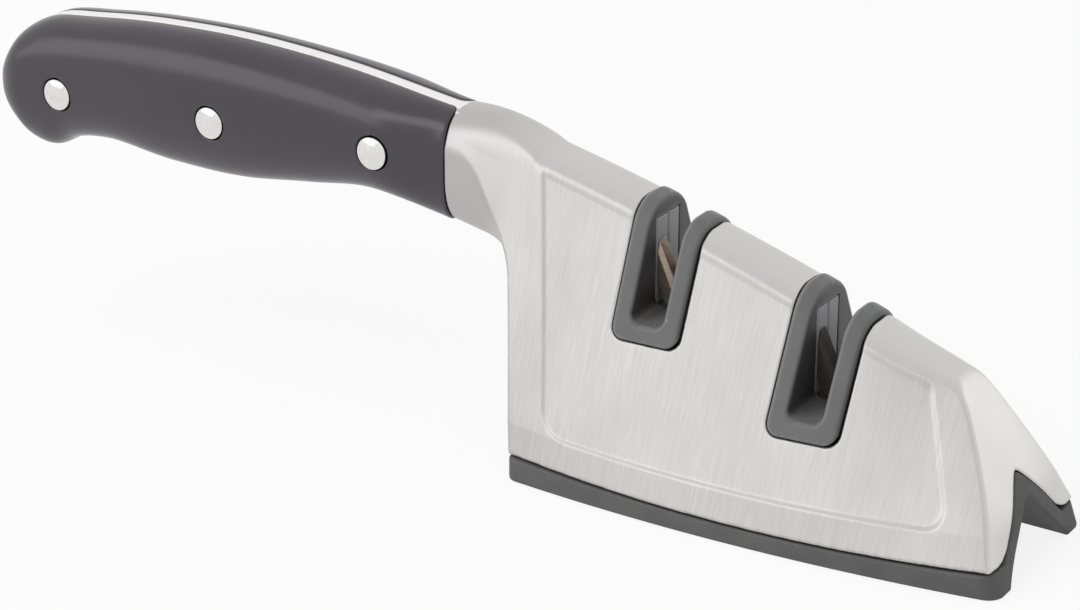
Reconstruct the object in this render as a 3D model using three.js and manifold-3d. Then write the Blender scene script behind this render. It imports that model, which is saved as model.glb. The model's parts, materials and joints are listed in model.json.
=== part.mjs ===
// Two-stage pull-through knife sharpener in the shape of a broad kitchen knife.
// Millimetres. +X runs from the butt of the handle to the nose, +Z up, Y = 0 is the plane of symmetry.
// The origin lies under the middle of the overall length, on the surface that the sole stands on.
import * as THREE from 'three';
import { mergeVertices } from 'three/addons/utils/BufferGeometryUtils.js';
import Module from 'manifold-3d';

const wasm = await Module();
wasm.setup();

// Lengths along the knife
const handleLength = 118.1;
const bolsterLength = 27.1;
const bolsterDrop = 5.8;
const bolsterWall = 3.2;
const capLength = 21;
const capLift = 0.3;
const capBow = 1.4;
const capStep = 0.45;
const capEdgeShare = 0.88;
const bodyLength = 103.1;

// Wedge shaped metal body
const wall = 2;
const spineHeightAtBolster = 66.5;
const spineHeightAtNose = 35;
const spineBow = 2.9;
const spineHalfWidth = 5.6;
const spineRound = 3.6;
const heelHalfWidth = 25.2;
const middleHalfWidth = 25.4;
const noseHalfWidth = 18.9;
const noseSlope = 0.5;
const noseBow = 0.8;
const heelLean = 8.4;
const heelLeanHeight = 37.6;
const heelFillet = 11;
const jointSwell = 0.9;
const panelDepth = 0.6;
const panelRise = 5.4;
const panelHeelMargin = 8.6;
const panelNoseMargin = 7.5;
const panelCorner = 4;

// Handle and tang
const gripHeight = 56.7;
const gripRise = 5;
const gripCrown = 17.2;
const gripBelly = 14.2;
const handleHalfThickness = 10.8;
const jointHalfThickness = 8.2;
const gripTaper = 17;
const sectionPower = 2.6;
const buttRound = 8;
const buttShare = 0.42;
const tangThickness = 2.8;
const scaleWall = 3.2;
const tangRim = 3.6;
const tangBarWidth = 9;

// Rivets
const rivetHeadDiameter = 7;
const rivetHeadHeight = 1.6;
const rivetShankDiameter = 4.4;
const rivetPinDiameter = 2.4;
const rearRivetShare = 0.161;
const rivetPitchShare = 0.3514;
const rivetDome = 0.35;

// Knife slots and their guides
const coarseShare = 0.231;
const stagePitchShare = 0.346;
const slotWidth = 7;
const slotDepthShare = 0.5714;
const slotCorner = 2.1;
const guideRim = 3.6;
const guideFloor = 3.3;
const guideCorner = 2.6;
const guideProud = 0.7;

// Sharpening elements
const holderDepth = 4.2;
const holderDrop = 1.6;
const holderSeat = 2.2;
const crossingShare = 0.73;
const bladeAngle = 25;
const bladeThickness = 1.4;
const bladeWidth = 3;
const bladeAbove = 8;
const bladeBelowShare = 0.15;
const notchFootShare = 0.13;

// Sole, its frame and the screws
const soleHeight = 5.3;
const soleBelly = 1.3;
const soleOverhang = 0.4;
const grooveHalfWidth = 12.1;
const grooveHeightShare = 0.363;
const soleRoof = 4.6;
const frameThickness = 2.4;
const screwHeadDiameter = 4.6;
const screwHeadHeight = 1.8;
const screwShankDiameter = 2.2;
const screwSeat = 1.8;
const screwSocketDiameter = 1.8;
const bossDiameter = 6.4;
const pillarDiameter = 8.4;
const threadDepth = 7;
const screwTipGap = 1;

// Clearances between neighbouring pieces
const fit = 0.25;
const shadowGap = 0.35;
const sliver = 0.02;

// How far cutting tools run past the piece that they cut
const overrun = 1;

// Stations that follow from the lengths
const overallLength = handleLength + bolsterLength + bodyLength;
const buttX = -overallLength / 2;
const jointX = buttX + handleLength;
const heelX = jointX + bolsterLength;
const noseX = heelX + bodyLength;
const shoulderX = noseX - noseSlope * spineHeightAtNose;
const heelTopX = heelX - heelLean;
const capEndX = jointX + capLength;
const reach = 2 * middleHalfWidth;
const rivetPitch = rivetPitchShare * handleLength;
const slotDepth = slotDepthShare * spineHeightAtNose;
const crossingDepth = crossingShare * slotDepth;
const bladeBelow = bladeBelowShare * slotDepth;
const notchFoot = notchFootShare * slotDepth;
const grooveHeight = grooveHeightShare * spineHeightAtNose;
const grooveSlope = grooveHeight / grooveHalfWidth;

const finishes = {
  metal: { color: 0xc8c6c2, roughness: 0.38, metalness: 1 },
  grip: { color: 0x2c2b2f, roughness: 0.5, metalness: 0 },
  rivet: { color: 0xdddcd8, roughness: 0.25, metalness: 1 },
  guide: { color: 0x5d5e5f, roughness: 0.55, metalness: 0 },
  holder: { color: 0x77787a, roughness: 0.55, metalness: 0 },
  carbide: { color: 0x7a7068, roughness: 0.35, metalness: 1 },
  ceramic: { color: 0x3a3833, roughness: 0.8, metalness: 0 },
  frame: { color: 0x232325, roughness: 0.7, metalness: 0 },
  rubber: { color: 0x4a4a4b, roughness: 0.85, metalness: 0 },
  screw: { color: 0xa8aaac, roughness: 0.35, metalness: 1 },
};

// Solids: closed meshes in, joined or cut, closed meshes out
function toSolid(geometry) {
  const plain = geometry.clone();
  plain.deleteAttribute('normal');
  plain.deleteAttribute('uv');
  const merged = mergeVertices(plain, 1e-5);
  const vertProperties = new Float32Array(merged.attributes.position.array);
  const triVerts = new Uint32Array(merged.index.array);
  return new wasm.Manifold(new wasm.Mesh({ numProp: 3, vertProperties, triVerts }));
}

function toGeometry(solid) {
  const mesh = solid.getMesh();
  const geometry = new THREE.BufferGeometry();
  geometry.setAttribute('position', new THREE.Float32BufferAttribute(mesh.vertProperties, 3));
  geometry.setIndex(new THREE.Uint32BufferAttribute(mesh.triVerts, 1));
  geometry.computeVertexNormals();
  return geometry;
}

function cut(solid, ...tools) {
  return tools.reduce((left, tool) => left.subtract(tool), solid);
}

function join(solid, ...more) {
  return more.reduce((sum, piece) => sum.add(piece), solid);
}

// Skin through closed loops that all have the same number of points
function loft(loops) {
  const count = loops[0].length;
  const positions = loops.flat().flatMap((point) => point.toArray());
  const index = [];
  for (let ring = 0; ring + 1 < loops.length; ring += 1) {
    for (let step = 0; step < count; step += 1) {
      const next = (step + 1) % count;
      const a = ring * count + step;
      const b = ring * count + next;
      index.push(a, b, b + count, a, b + count, a + count);
    }
  }
  const last = (loops.length - 1) * count;
  const faces = (loop) => {
    const flat = loop.map((point) => new THREE.Vector2(point.y, point.z));
    return THREE.ShapeUtils.triangulateShape(flat, []);
  };
  faces(loops[0]).forEach(([a, b, c]) => index.push(c, b, a));
  faces(loops[loops.length - 1]).forEach(([a, b, c]) => index.push(last + a, last + b, last + c));
  const geometry = new THREE.BufferGeometry();
  geometry.setAttribute('position', new THREE.Float32BufferAttribute(positions, 3));
  geometry.setIndex(index);
  return toSolid(geometry);
}

// Side view outline (x, z), extruded across the knife between two values of y
function sidePrism(outline, yLow, yHigh, curveSegments = 6) {
  const shape = outline instanceof THREE.Shape ? outline : new THREE.Shape(outline);
  const depth = yHigh - yLow;
  const geometry = new THREE.ExtrudeGeometry(shape, { depth, bevelEnabled: false, curveSegments });
  geometry.rotateX(Math.PI / 2);
  geometry.translate(0, yHigh, 0);
  return toSolid(geometry);
}

function upright(diameter, x, y, zLow, zHigh, sides = 14) {
  const geometry = new THREE.CylinderGeometry(diameter / 2, diameter / 2, zHigh - zLow, sides);
  geometry.rotateX(Math.PI / 2);
  geometry.translate(x, y, (zLow + zHigh) / 2);
  return toSolid(geometry);
}

function across(diameter, x, z, yLow, yHigh, sides = 14) {
  const geometry = new THREE.CylinderGeometry(diameter / 2, diameter / 2, yHigh - yLow, sides);
  geometry.translate(x, (yLow + yHigh) / 2, z);
  return toSolid(geometry);
}

function block(xLow, xHigh, yLow, yHigh, zLow, zHigh) {
  const geometry = new THREE.BoxGeometry(xHigh - xLow, yHigh - yLow, zHigh - zLow);
  geometry.translate((xLow + xHigh) / 2, (yLow + yHigh) / 2, (zLow + zHigh) / 2);
  return toSolid(geometry);
}

function stations(from, to, count) {
  return Array.from({ length: count + 1 }, (_, i) => from + ((to - from) * i) / count);
}

// Lines of the body
function spineHeight(x) {
  const t = (x - jointX) / (shoulderX - jointX);
  const chord = spineHeightAtBolster + (spineHeightAtNose - spineHeightAtBolster) * t;
  return chord + spineBow * 4 * t * (1 - t);
}

function baseHalfWidth(x) {
  const t = (x - heelX) / bodyLength;
  const heelShare = (1 - t) * (1 - 2 * t);
  const noseShare = t * (2 * t - 1);
  return heelHalfWidth * heelShare + middleHalfWidth * 4 * t * (1 - t) + noseHalfWidth * noseShare;
}

function sideLean(x) {
  return (baseHalfWidth(x) - spineHalfWidth) / (spineHeight(x) - soleHeight);
}

function halfWidth(x, z) {
  return baseHalfWidth(x) - sideLean(x) * (z - soleHeight);
}

function steelEdgeHeight(x) {
  const t = (x - heelX) / bodyLength;
  return soleHeight - soleBelly * 4 * t * (1 - t);
}

function noseLine(z) {
  const t = z / spineHeightAtNose;
  return noseX - noseSlope * z + noseBow * 4 * t * (1 - t);
}

function heelLine(z) {
  return heelX - (heelLean * z) / heelLeanHeight;
}

// Behind the heel the section widens a little, so that the bolster meets the handle at full width
function heelSwell(x) {
  const back = Math.max((heelTopX - x) / (heelTopX - jointX), 0);
  return 1 + jointSwell * back ** 3;
}

// Tent shaped section of the body at x, moved inwards by inset
function tentLoop(x, inset, zLow) {
  const lean = sideLean(x);
  const slide = inset * Math.hypot(1, lean);
  const top = spineHeight(x) - inset;
  const side = (z) => halfWidth(x, z) - slide;
  const round = Math.max(spineRound - inset, shadowGap);
  const turn = Math.PI / 2 - Math.atan(lean);
  const reachBack = round * Math.tan(turn / 2);
  const centreY = side(top) - reachBack;
  const centreZ = top - round;
  const arc = stations(0, turn, 4).map((angle) => {
    return [centreY + round * Math.sin(angle), centreZ + round * Math.cos(angle)];
  });
  const right = [...arc, [side(zLow), zLow]];
  const left = right.map(([y, z]) => [-y, z]).reverse();
  const swell = heelSwell(x);
  return [...left, ...right].reverse().map(([y, z]) => new THREE.Vector3(x, y * swell, z));
}

function tent(inset, xLow, xHigh, count, zLow = -overrun) {
  return loft(stations(xLow, xHigh, count).map((x) => tentLoop(x, inset, zLow)));
}

// The whole body under its spine, from the joint with the handle to the nose
function wholeTent(inset) {
  const back = stations(jointX - overrun, heelTopX, 4);
  const front = stations(heelTopX, noseX + overrun, 12).slice(1);
  return loft([...back, ...front].map((x) => tentLoop(x, inset, -overrun)));
}

// Side view of the body between heel and nose, drawn in by inset; the floor follows the steel edge
function bodyOutline(inset, zFloor) {
  const noseTop = spineHeightAtNose + spineRound;
  const outline = [];
  stations(0, 1, 6).forEach((t) => {
    const xBack = heelLine(soleHeight) + inset;
    const x = xBack + (noseLine(soleHeight) - inset - xBack) * t;
    outline.push(new THREE.Vector2(x, zFloor(x)));
  });
  stations(soleHeight + sliver, noseTop, 7).forEach((z) => {
    outline.push(new THREE.Vector2(noseLine(z) - inset, z));
  });
  outline.push(new THREE.Vector2(noseLine(noseTop) - inset, crown));
  outline.push(new THREE.Vector2(heelLine(spineHeightAtBolster) + inset, crown));
  [spineHeightAtBolster, soleHeight + sliver].forEach((z) => {
    outline.push(new THREE.Vector2(heelLine(z) + inset, z));
  });
  return outline;
}

// Lines of the handle
function gripAxis(x) {
  return gripHeight - (gripRise * (jointX - x)) / handleLength;
}

// Top and bottom line of the handle: share of its length, share of its crown or belly
const gripTopCurve = new THREE.SplineCurve([
  [0, 0.035], [0.018, 0.405], [0.05, 0.675], [0.1, 0.855], [0.2, 0.937],
  [0.36, 1], [0.56, 0.977], [0.77, 0.831], [1, 0.564],
].map(([share, rise]) => new THREE.Vector2(share, rise)));

const gripBottomCurve = new THREE.SplineCurve([
  [0, 0.06], [0.012, 0.395], [0.04, 0.706], [0.075, 0.944], [0.115, 1], [0.165, 0.815],
  [0.24, 0.74], [0.4, 0.904], [0.56, 0.94], [0.7, 0.818], [0.84, 0.718], [1, 1],
].map(([share, drop]) => new THREE.Vector2(share, drop)));

function along(curve, share) {
  let low = 0;
  let high = 1;
  for (let step = 0; step < 30; step += 1) {
    const middle = (low + high) / 2;
    if (curve.getPoint(middle).x < share) low = middle;
    else high = middle;
  }
  return curve.getPoint((low + high) / 2).y;
}

function gripTop(x) {
  return gripAxis(x) + gripCrown * along(gripTopCurve, (x - buttX) / handleLength);
}

function gripBottom(x) {
  return gripAxis(x) - gripBelly * along(gripBottomCurve, (x - buttX) / handleLength);
}

function gripHalfThickness(x) {
  const back = Math.min((x - buttX) / buttRound, 1);
  const front = Math.min(Math.max(1 - (jointX - x) / gripTaper, 0), 1);
  const waist = (handleHalfThickness - jointHalfThickness) * front * front * (3 - 2 * front);
  return (handleHalfThickness - waist) * (buttShare + (1 - buttShare) * Math.sqrt(1 - (1 - back) ** 2));
}

// Half of a rounded section between two heights, from the inner face at y = inner outwards
function scaleLoop(x, inner, thickness, zLow, zHigh) {
  const middle = (zLow + zHigh) / 2;
  const half = (zHigh - zLow) / 2;
  const points = [];
  stations(-1, 1, 10).forEach((u) => {
    const rise = Math.sin((u * Math.PI) / 2);
    const bulge = (1 - Math.abs(rise) ** sectionPower) ** (1 / sectionPower);
    const y = inner + (thickness - inner) * bulge + sliver;
    points.push(new THREE.Vector3(x, y, middle + half * rise));
  });
  [zHigh, middle, zLow].forEach((z) => points.push(new THREE.Vector3(x, inner, z)));
  return points;
}

// Section of the bolster: round below like the handle, with sides that run straight up
function bolsterLoop(x, thickness, zLow) {
  const middle = (gripBottom(jointX) + gripTop(jointX)) / 2;
  const share = 2 / sectionPower;
  const loop = stations(Math.PI, 2 * Math.PI, 14).map((angle) => {
    const y = thickness * Math.sign(Math.cos(angle)) * Math.abs(Math.cos(angle)) ** share;
    return [y, middle - (middle - zLow) * Math.abs(Math.sin(angle)) ** share];
  });
  const zHigh = gripTop(jointX) + 2 * spineRound;
  loop.push([thickness, zHigh], [-thickness, zHigh]);
  return loop.map(([y, z]) => new THREE.Vector3(x, y, z));
}

// Stages: each slot has its place along the body and its depth under the spine
const stages = [
  { name: 'coarse', along: coarseShare, element: 'carbide', finish: 'carbide' },
  { name: 'fine', along: coarseShare + stagePitchShare, element: 'stone', finish: 'ceramic' },
].map((stage) => {
  const x = heelX + stage.along * bodyLength;
  const spine = spineHeight(x);
  return {
    ...stage,
    x,
    spine,
    floor: spine - slotDepth,
    under: spine - slotDepth - guideFloor,
    crossing: spine - crossingDepth,
    top: spine - holderDrop,
  };
});

// U shaped outline, open upwards, with rounded lower corners
function slotOutline(x, halfSpan, zLow, zHigh, corner) {
  const shape = new THREE.Shape();
  shape.moveTo(x - halfSpan, zHigh);
  shape.lineTo(x - halfSpan, zLow + corner);
  shape.absarc(x - halfSpan + corner, zLow + corner, corner, Math.PI, 1.5 * Math.PI, false);
  shape.lineTo(x + halfSpan - corner, zLow);
  shape.absarc(x + halfSpan - corner, zLow + corner, corner, 1.5 * Math.PI, 2 * Math.PI, false);
  shape.lineTo(x + halfSpan, zHigh);
  shape.closePath();
  return shape;
}

const guideHalfSpan = slotWidth / 2 + guideRim;
const crown = spineHeightAtBolster + reach;
const roofHeight = grooveHeight + soleRoof;
const screwFoot = roofHeight + 2 * fit;
const bossFoot = screwFoot + screwHeadHeight + screwSeat + fit;

// Places of the sole screws: behind, between and ahead of the two stages
const soleScrews = [
  { name: 'rear', x: (heelLine(bossFoot) + wall + stages[0].x - guideHalfSpan) / 2 },
  { name: 'middle', x: (stages[0].x + stages[1].x) / 2 },
  { name: 'front', x: (stages[1].x + guideHalfSpan + noseLine(bossFoot) - wall) / 2 },
];

const rivets = ['rear', 'middle', 'front'].map((name, i) => {
  const x = buttX + rearRivetShare * handleLength + rivetPitch * i;
  return { name, x, z: gripAxis(x) };
});

// Side outline of the handle, drawn in by inset, from the butt to x = xEnd
function gripOutline(inset, xEnd) {
  const xStart = buttX + inset;
  const xs = stations(0, 1, 22).map((t) => xStart + (xEnd - xStart) * (1 - Math.cos((t * Math.PI) / 2)));
  const upper = xs.map((x) => new THREE.Vector2(x, gripTop(Math.max(x - inset * 0.4, buttX)) - inset));
  const lower = xs.map((x) => new THREE.Vector2(x, gripBottom(Math.max(x - inset * 0.4, buttX)) + inset));
  return [...lower, ...upper.reverse()];
}

function makeTang() {
  const half = tangThickness / 2;
  const plate = sidePrism(gripOutline(0, jointX + wall), -half, half);
  const windowRight = jointX - tangRim;
  const window = sidePrism(gripOutline(tangRim, windowRight), -tangThickness, tangThickness);
  const barAt = (x, width) => {
    const low = gripBottom(x) + tangRim / 2;
    const high = gripTop(x) - tangRim / 2;
    return block(x - width / 2, x + width / 2, -half, half, low, high);
  };
  const rivetBars = rivets.map((rivet) => barAt(rivet.x, tangBarWidth));
  const bayBars = rivets.slice(1).map((rivet) => barAt(rivet.x - rivetPitch / 2, tangRim));
  const bore = rivetShankDiameter + 2 * fit;
  const holes = rivets.map((rivet) => across(bore, rivet.x, rivet.z, -tangThickness, tangThickness));
  return cut(join(cut(plate, window), ...rivetBars, ...bayBars), ...holes);
}

// The bolster keeps the section of the handle; its underside falls towards the heel
function bolsterUnder(x) {
  return gripBottom(jointX) - (bolsterDrop * (x - jointX)) / bolsterLength;
}

function makeBolster(inset) {
  const loops = stations(jointX + inset, heelX, 6).map((x) => {
    return bolsterLoop(x, jointHalfThickness - inset, bolsterUnder(x) + inset);
  });
  return loft(loops);
}

// Hollow curve in which the bolster spreads into the heel
function makeFlare() {
  const xFrom = heelLine(bolsterUnder(heelTopX) - heelFillet) - heelFillet;
  const loops = stations(0, 1, 6).map((t) => {
    const x = xFrom + heelFillet * Math.sin((t * Math.PI) / 2);
    const spread = heelFillet * (1 - Math.cos((t * Math.PI) / 2));
    return bolsterLoop(x, jointHalfThickness + spread, bolsterUnder(x) - spread);
  });
  return loft(loops);
}

// Top line of the bolster, which ends in a small step on the spine
function capTop(x) {
  const t = (x - jointX) / capLength;
  const start = gripTop(jointX) + capLift;
  const end = spineHeight(capEndX) + capStep;
  return start + (end - start) * t + capBow * 4 * t * (1 - t);
}

// Round top of the bolster: the section of the handle, run out straight below its edge
function capLoop(x) {
  const half = (gripTop(jointX) - gripBottom(jointX)) / 2;
  const fall = (u) => half * (1 - (1 - u ** sectionPower) ** (1 / sectionPower));
  const arc = stations(0, capEdgeShare, 6).map((u) => [jointHalfThickness * u, capTop(x) - fall(u)]);
  const [[yBack, zBack], [yEdge, zEdge]] = arc.slice(-2);
  const runOut = ((yEdge - yBack) / (zBack - zEdge)) * (zEdge + overrun);
  const right = [...arc, [yEdge + runOut, -overrun]];
  const left = right.slice(1).map(([y, z]) => [-y, z]).reverse();
  return [...left, ...right].reverse().map(([y, z]) => new THREE.Vector3(x, y, z));
}

// Straight sides of the body, carried up past the bolster's top
function flankLoop(x) {
  const swell = heelSwell(x);
  const zHigh = capTop(x) + spineRound;
  const right = [[halfWidth(x, zHigh), zHigh], [halfWidth(x, -overrun), -overrun]];
  const left = right.map(([y, z]) => [-y, z]).reverse();
  return [...left, ...right].reverse().map(([y, z]) => new THREE.Vector3(x, y * swell, z));
}

// Outer skin of the body: bolster top behind, tent under the spine in front
function makeSkin() {
  const xs = stations(jointX - overrun, capEndX, 6);
  const back = loft(xs.map(flankLoop)).intersect(loft(xs.map(capLoop)));
  return join(back, tent(0, capEndX - sliver, noseX + overrun, 12));
}

// Outline of the shallow pressed panel on the side face
function panelOutline(side) {
  const low = soleHeight + panelRise;
  const frontX = shoulderX - panelNoseMargin;
  const backX = heelLine(spineHeight(heelTopX)) + panelHeelMargin;
  const shape = new THREE.Shape();
  const corners = [
    [heelLine(low) + panelHeelMargin, low],
    [noseLine(low) - panelNoseMargin, low],
    [frontX, spineHeight(frontX) - spineRound / 3],
    [backX, spineHeight(backX) - spineRound / 3],
  ].map(([x, z]) => new THREE.Vector2(x, z));
  corners.forEach((corner, i) => {
    const before = corners[(i + 3) % 4];
    const after = corners[(i + 1) % 4];
    const from = corner.clone().add(before.clone().sub(corner).setLength(panelCorner));
    const to = corner.clone().add(after.clone().sub(corner).setLength(panelCorner));
    if (i === 0) shape.moveTo(from.x, from.y);
    else shape.lineTo(from.x, from.y);
    shape.quadraticCurveTo(corner.x, corner.y, to.x, to.y);
  });
  shape.closePath();
  return side > 0 ? sidePrism(shape, 0, reach, 4) : sidePrism(shape, -reach, 0, 4);
}

function makeHousing() {
  const outside = sidePrism(bodyOutline(0, steelEdgeHeight), -reach, reach);
  const shell = makeSkin().intersect(join(outside, makeBolster(0), makeFlare()));
  const skinDeep = wholeTent(panelDepth);
  const panels = [-1, 1].map((side) => cut(panelOutline(side), skinDeep));
  const cavitySide = sidePrism(bodyOutline(wall, () => -overrun), -reach, reach);
  const cavity = wholeTent(wall).intersect(join(cavitySide, makeBolster(bolsterWall)));
  const hollow = cut(shell, ...panels, cavity);
  const bosses = soleScrews.map(({ x }) => {
    return upright(bossDiameter, x, 0, bossFoot, spineHeight(x + bossDiameter / 2) - wall / 2);
  });
  const threadBore = screwShankDiameter + 2 * fit;
  const threadTop = bossFoot + threadDepth;
  const threads = soleScrews.map(({ x }) => upright(threadBore, x, 0, bossFoot - overrun, threadTop));
  const windows = stages.map((stage) => {
    const low = stage.under - shadowGap;
    const outline = slotOutline(stage.x, guideHalfSpan + shadowGap, low, crown, guideCorner + shadowGap);
    return sidePrism(outline, -reach, reach);
  });
  return cut(join(hollow, ...bosses, makeTang()), ...threads, ...windows, makeNoseNotch());
}

// Roof shaped section under the body: the groove that grips an edge and the sole that lines it
function roofLoop(x, lift, zLow) {
  const ridge = roofHeight + lift;
  const half = (ridge - zLow) / grooveSlope;
  return [[half, zLow], [0, ridge], [-half, zLow]].map(([y, z]) => new THREE.Vector3(x, y, z));
}

function makeNoseNotch() {
  return loft([jointX, noseX + overrun].map((x) => roofLoop(x, fit, -overrun)));
}

function soleLoop(x) {
  const half = halfWidth(x, soleHeight) + soleOverhang;
  const ledge = steelEdgeHeight(x) - shadowGap;
  const inner = (roofHeight - ledge) / grooveSlope;
  const right = [[grooveHalfWidth, 0], [half, 0], [half, ledge], [inner, ledge]];
  const left = right.map(([y, z]) => [-y, z]).reverse();
  const loop = [...right, [0, roofHeight], ...left, [0, grooveHeight]];
  return loop.map(([y, z]) => new THREE.Vector3(x, y, z));
}

// Slanting ends of the sole and its frame; below zFrom they stand upright
function endTrim(inset, zFrom) {
  const zs = [-overrun, ...stations(zFrom, spineHeightAtNose, 7)];
  const front = zs.map((z) => new THREE.Vector2(noseLine(Math.max(z, zFrom)) - inset, z));
  const back = zs.map((z) => new THREE.Vector2(heelLine(Math.max(z, zFrom)) + inset, z)).reverse();
  return sidePrism([...front, ...back], -reach, reach);
}

function makeSole() {
  return loft(stations(heelX - heelLean, noseX + overrun, 8).map(soleLoop)).intersect(endTrim(0, 0));
}

function frameLoop(x) {
  const ledge = steelEdgeHeight(x) - shadowGap + fit;
  const outer = halfWidth(x, soleHeight) - wall * Math.hypot(1, sideLean(x)) - 2 * fit;
  const inner = (roofHeight - ledge + fit) / grooveSlope;
  const lift = frameThickness * Math.hypot(1, grooveSlope);
  const deck = ledge + frameThickness;
  const kink = (roofHeight + fit + lift - deck) / grooveSlope;
  const edge = Math.max(outer - sideLean(x) * frameThickness, kink + fit);
  const right = [[inner, ledge], [Math.max(outer, inner + fit), ledge], [edge, deck], [kink, deck]];
  const left = right.map(([y, z]) => [-y, z]).reverse();
  const loop = [...right, [0, roofHeight + fit + lift], ...left, [0, roofHeight + fit]];
  return loop.map(([y, z]) => new THREE.Vector3(x, y, z));
}

function makeFrame() {
  const ends = endTrim(wall + fit, soleHeight);
  const roof = loft(stations(heelX - heelLean, noseX + overrun, 6).map(frameLoop));
  const plate = roof.intersect(ends).intersect(wholeTent(wall + fit));
  const under = makeNoseNotch();
  const pillarFoot = roofHeight - soleRoof;
  const seats = soleScrews.map(({ x }) => upright(pillarDiameter, x, 0, pillarFoot, bossFoot - fit));
  const towers = stages.map((stage) => upright(pillarDiameter, stage.x, 0, pillarFoot, stage.under - fit));
  const screws = [...soleScrews, ...stages].map((place) => place.x);
  const sinkTop = screwFoot + screwHeadHeight;
  const sinks = screws.map((x) => upright(screwHeadDiameter + 2 * fit, x, 0, 0, sinkTop));
  const bores = screws.map((x) => upright(screwShankDiameter + 2 * fit, x, 0, 0, crown));
  const beds = stages.map((stage) => {
    const bed = slotOutline(stage.x, guideHalfSpan + fit, stage.under - fit, crown, guideCorner);
    return sidePrism(bed, -reach, reach);
  });
  return cut(join(plate, ...seats, ...towers), under, ...beds, ...sinks, ...bores);
}

function makeScrew(x, tip) {
  const neck = screwFoot + screwHeadHeight - fit;
  const head = upright(screwHeadDiameter, x, 0, screwFoot, neck);
  const shank = upright(screwShankDiameter, x, 0, neck - fit, tip);
  const socketTop = screwFoot + screwHeadHeight / 2;
  const socket = upright(screwSocketDiameter, x, 0, screwFoot - overrun, socketTop, 6);
  return cut(join(head, shank), socket);
}

function makeGuide(stage) {
  const outer = slotOutline(stage.x, guideHalfSpan, stage.under, crown, guideCorner);
  const span = guideHalfSpan + overrun;
  const proud = tent(-guideProud, stage.x - span, stage.x + span, 4);
  const saddle = proud.intersect(sidePrism(outer, -reach, reach));
  const throat = slotOutline(stage.x, slotWidth / 2, stage.floor, crown, slotCorner);
  const slot = sidePrism(throat, -reach, reach);
  const pocketHalf = slotWidth / 2 + holderSeat;
  const pocketTop = stage.top + fit;
  const depth = holderDepth + fit;
  const pocket = block(stage.x - pocketHalf, stage.x + pocketHalf, -depth, depth, stage.floor, pocketTop);
  const threadTop = stage.floor - screwTipGap / 2;
  const thread = upright(screwShankDiameter + 2 * fit, stage.x, 0, stage.under - overrun, threadTop);
  return cut(saddle, slot, pocket, thread);
}

// Bar of carbide or ceramic: its working face runs through the crossing point of the stage
function bladeBar(stage, side, grow) {
  const angle = THREE.MathUtils.degToRad(bladeAngle);
  const length = bladeAbove + bladeBelow + 2 * grow;
  const geometry = new THREE.BoxGeometry(bladeThickness + 2 * grow, bladeWidth + 2 * grow, length);
  geometry.translate(side * (bladeThickness / 2), 0, (bladeAbove - bladeBelow) / 2);
  geometry.rotateY(side * angle);
  geometry.translate(stage.x, side * (holderDepth - bladeWidth / 2), stage.crossing);
  return toSolid(geometry);
}

// Half of the block that holds one bar: near (side -1) or far (side 1) of the middle plane
function makeHolder(stage, side) {
  const half = slotWidth / 2 + holderSeat - fit;
  const yLow = side > 0 ? fit / 2 : -holderDepth;
  const yHigh = side > 0 ? holderDepth : -fit / 2;
  const body = block(stage.x - half, stage.x + half, yLow, yHigh, stage.floor + fit, stage.top);
  const foot = stage.crossing - notchFoot;
  const span = slotWidth / 2;
  const notch = block(stage.x - span, stage.x + span, -reach, reach, foot, stage.top + overrun);
  return cut(body, notch, bladeBar(stage, side, fit));
}

function makeScale(side) {
  const inner = tangThickness / 2 + fit;
  const xEnd = jointX - fit;
  const ts = stations(0, 1, 20).map((t) => 1 - Math.cos((t * Math.PI) / 2));
  const outerLoops = ts.map((t) => {
    const x = buttX + (xEnd - buttX) * t;
    return scaleLoop(x, inner, gripHalfThickness(x), gripBottom(x), gripTop(x));
  });
  const whole = loft(outerLoops);
  const coreStart = buttX + scaleWall * 2;
  const coreEnd = xEnd - scaleWall;
  const coreLoops = stations(coreStart, coreEnd, 7).map((x) => {
    const thickness = gripHalfThickness(x) - scaleWall;
    return scaleLoop(x, inner - overrun, thickness, gripBottom(x) + scaleWall, gripTop(x) - scaleWall);
  });
  const core = loft(coreLoops);
  const post = rivetHeadDiameter + 2 * scaleWall;
  const posts = rivets.map((rivet) => across(post, rivet.x, rivet.z, inner, reach));
  const hollow = cut(whole, cut(core, ...posts));
  const face = handleHalfThickness;
  const seat = face - rivetHeadHeight - fit;
  const holes = rivets.flatMap((rivet) => [
    across(rivetShankDiameter + 2 * fit, rivet.x, rivet.z, 0, face),
    across(rivetHeadDiameter + 2 * fit, rivet.x, rivet.z, seat, face + overrun),
  ]);
  const scale = cut(hollow, ...holes);
  return side > 0 ? scale : scale.mirror([0, 1, 0]);
}

// Two-piece handle rivet: a tube with a head on the near side, a pin with a head on the far side
function rivetHead(rivet, side) {
  const face = handleHalfThickness;
  const low = face - rivetHeadHeight;
  const radius = rivetHeadDiameter / 2;
  const geometry = new THREE.LatheGeometry([
    [0, low], [radius, low], [radius, face], [radius * 0.66, face + rivetDome * 0.6], [0, face + rivetDome],
  ].map(([r, y]) => new THREE.Vector2(r, y)), 16);
  if (side < 0) geometry.rotateX(Math.PI);
  geometry.translate(rivet.x, 0, rivet.z);
  return toSolid(geometry);
}

function makeRivetTube(rivet) {
  const far = handleHalfThickness - rivetHeadHeight - fit;
  const near = -handleHalfThickness + rivetHeadHeight;
  const tube = across(rivetShankDiameter, rivet.x, rivet.z, near - rivetHeadHeight / 2, far);
  const bore = across(rivetPinDiameter + 2 * fit, rivet.x, rivet.z, near + fit, far + overrun, 16);
  return cut(join(rivetHead(rivet, -1), tube), bore);
}

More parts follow.
